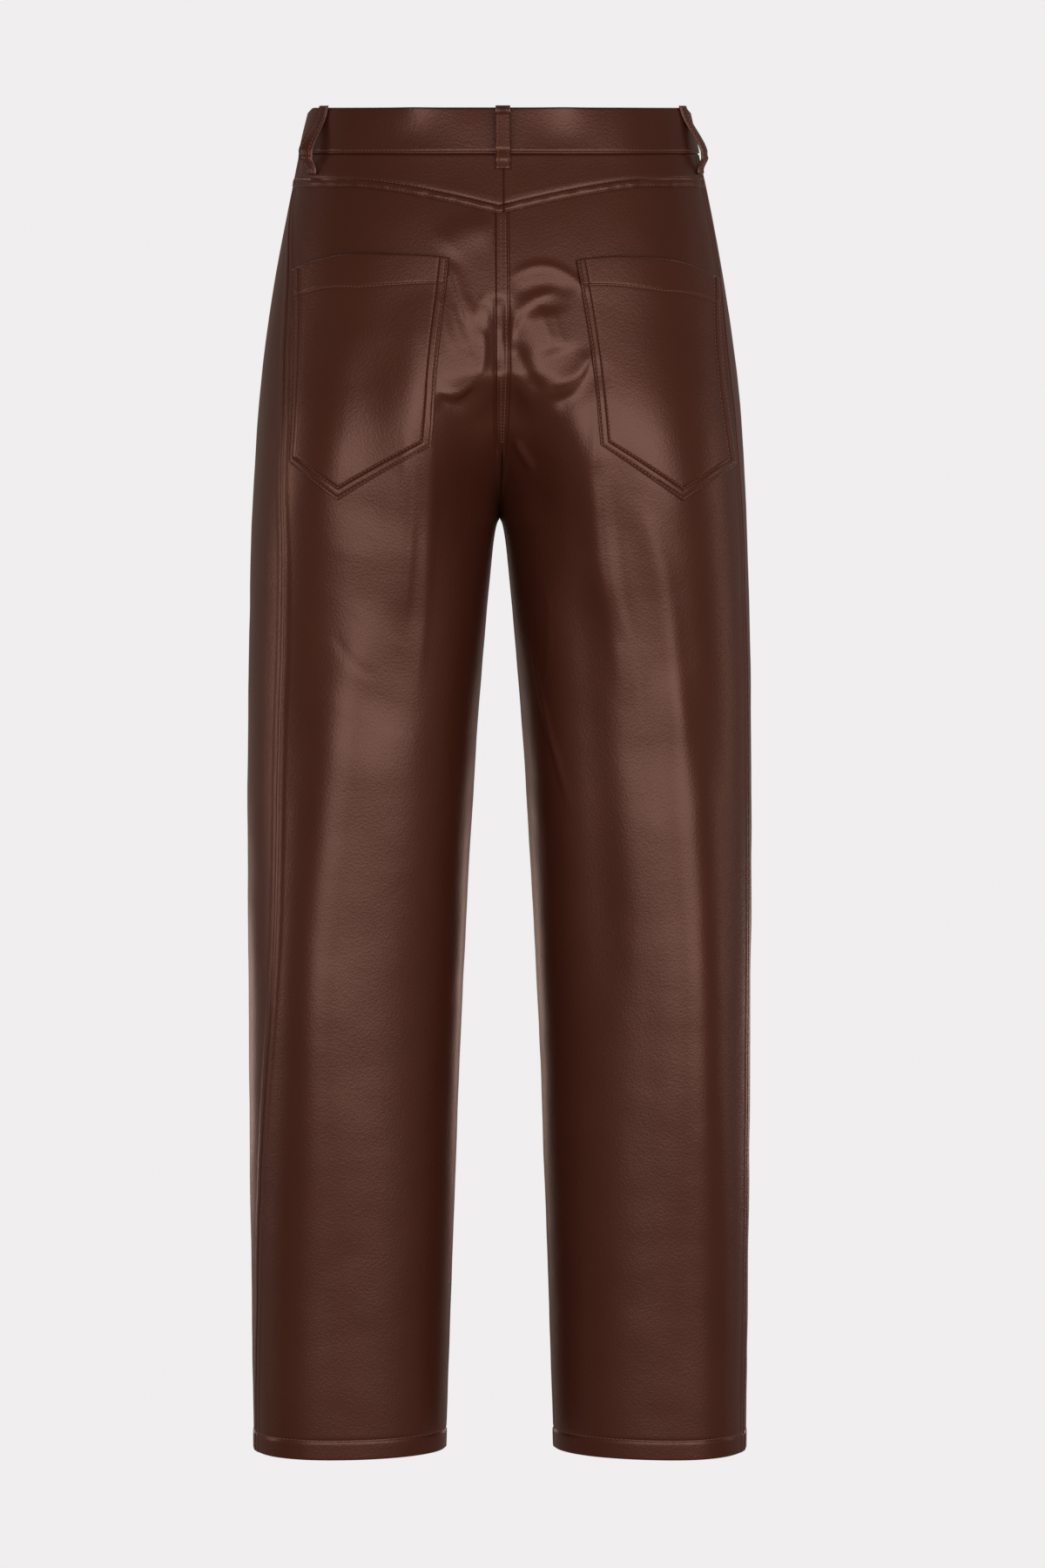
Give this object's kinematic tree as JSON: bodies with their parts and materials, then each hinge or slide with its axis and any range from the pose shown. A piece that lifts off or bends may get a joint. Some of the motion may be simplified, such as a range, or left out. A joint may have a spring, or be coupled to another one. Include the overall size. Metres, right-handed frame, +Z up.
{
  "type": "leather trousers",
  "caption": "Long straight leather trousers with a shaped waistband, belt loops, a pointed back yoke, pointed patch pockets on the seat and a buttoned front fly, filled out with no wearer.",
  "frame": {"origin": "middle of the waist, halfway up the waistband, where the wearer's waist holds the garment up", "axes": "+Z up along the garment, -Y towards the front with the fly, +Y towards the seat with the patch pockets, +X towards the wearer's left"},
  "size_m": [0.3907, 0.2457, 1.0415],
  "materials": {
    "leather": "smooth satin dark brown leather with soft creases and a fine grain",
    "button_metal": "dark bronze-toned satin metal",
    "thread": "waxed brown sewing thread, a little lighter than the leather"
  },
  "bodies": {
    "root": {"yoke_left": "leather", "back_leg_left": "leather", "front_leg_left": "leather", "yoke_right": "leather", "back_leg_right": "leather", "front_leg_right": "leather", "waistband": "leather", "belt_loop_back": "leather", "belt_loop_left": "leather", "belt_loop_right": "leather", "belt_loop_front_left": "leather", "belt_loop_front_right": "leather", "back_pocket_left": "leather", "back_pocket_right": "leather", "fly": "leather", "waist_button": "button_metal"}
  },
  "joints": []
}
